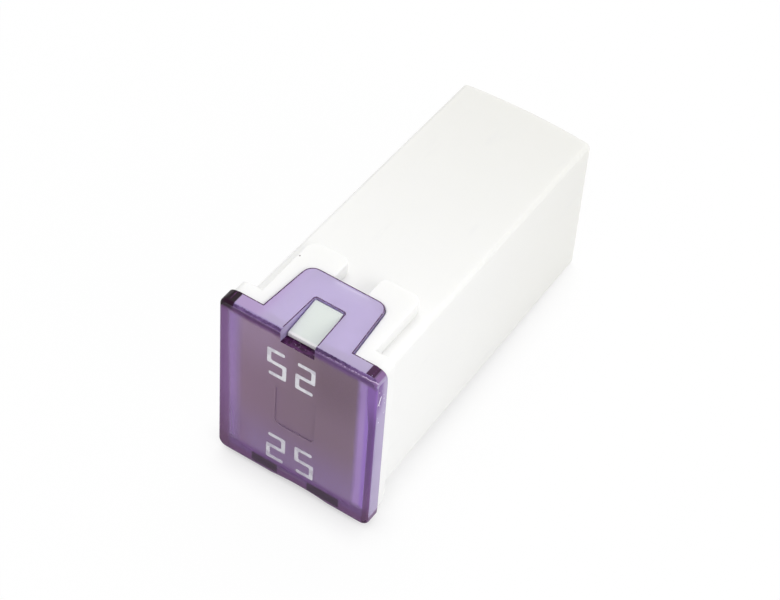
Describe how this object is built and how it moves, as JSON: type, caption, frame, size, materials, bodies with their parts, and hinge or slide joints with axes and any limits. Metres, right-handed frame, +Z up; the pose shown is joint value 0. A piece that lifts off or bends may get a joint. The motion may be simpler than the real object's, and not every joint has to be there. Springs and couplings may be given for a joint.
{
  "type": "cartridge fuse",
  "caption": "Low-profile cartridge fuse: white drafted housing, clear violet window cap with latch loops, folded one-piece fuse element ending in blade sockets.",
  "frame": {"origin": "under the middle of the fuse, level with the cap's lowest edge", "axes": "+Y from the window face to the mating face, +Z up with one latch side on top, +X across the fuse to the right when the window is looked at"},
  "size_m": [0.012, 0.0278, 0.0145],
  "materials": {
    "housing_white": "satin moulded plastic",
    "clear_violet": "clear glossy plastic, pale violet",
    "tinned_copper": "tin-plated copper alloy strip",
    "tin": "soft dull tin",
    "spring_steel": "bright stainless spring strip"
  },
  "bodies": {
    "root": {"housing": "housing_white", "window_cap": "clear_violet", "fuse_element": "tinned_copper", "tin_pellet": "tin", "spring_upper": "spring_steel", "spring_lower": "spring_steel"}
  },
  "joints": []
}
